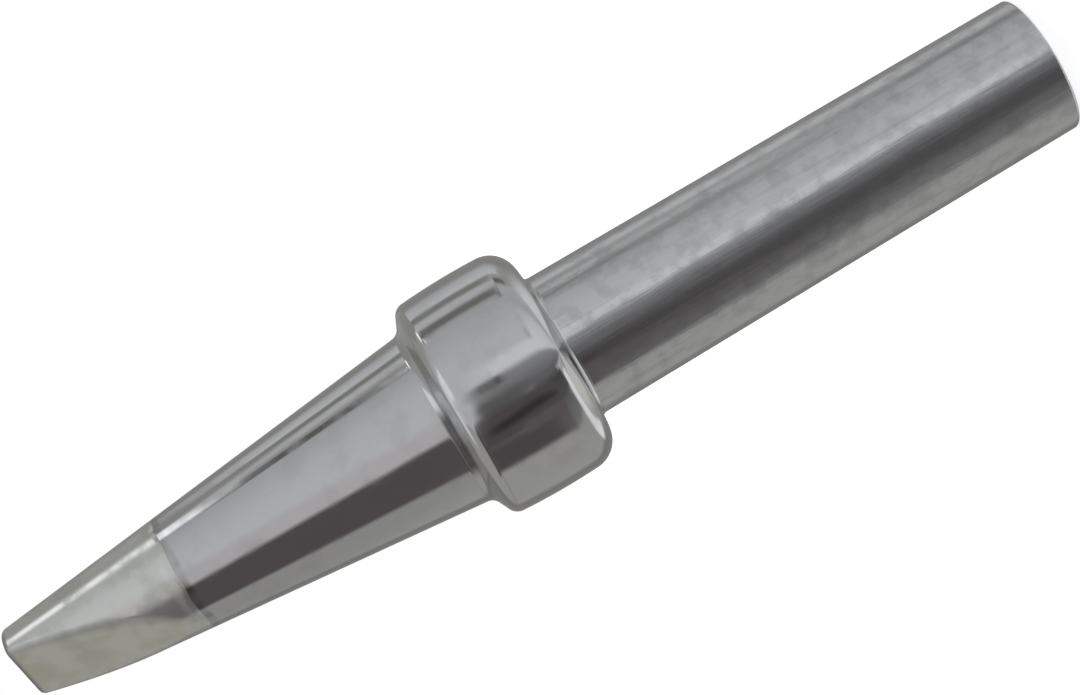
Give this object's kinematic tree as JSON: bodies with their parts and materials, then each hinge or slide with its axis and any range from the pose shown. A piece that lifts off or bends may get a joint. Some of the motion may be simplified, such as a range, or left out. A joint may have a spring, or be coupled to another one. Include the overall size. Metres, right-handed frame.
{
  "type": "soldering iron tip",
  "caption": "Plated soldering iron tip with a hollow round shank, a broad rounded collar and a conical nose with a flat ground across its blunt end.",
  "frame": {"origin": "centre of the shank's open end, which is the face that the tip stands on", "axes": "+Z along the tip's axis, from the shank's end to the working end; the ground flat faces -Y"},
  "size_m": [0.0102, 0.0102, 0.0496],
  "materials": {
    "plated_metal": "bright chromium plate, satin on the shank, with a grey tinned working end"
  },
  "bodies": {
    "root": {"soldering_tip": "plated_metal"}
  },
  "joints": []
}
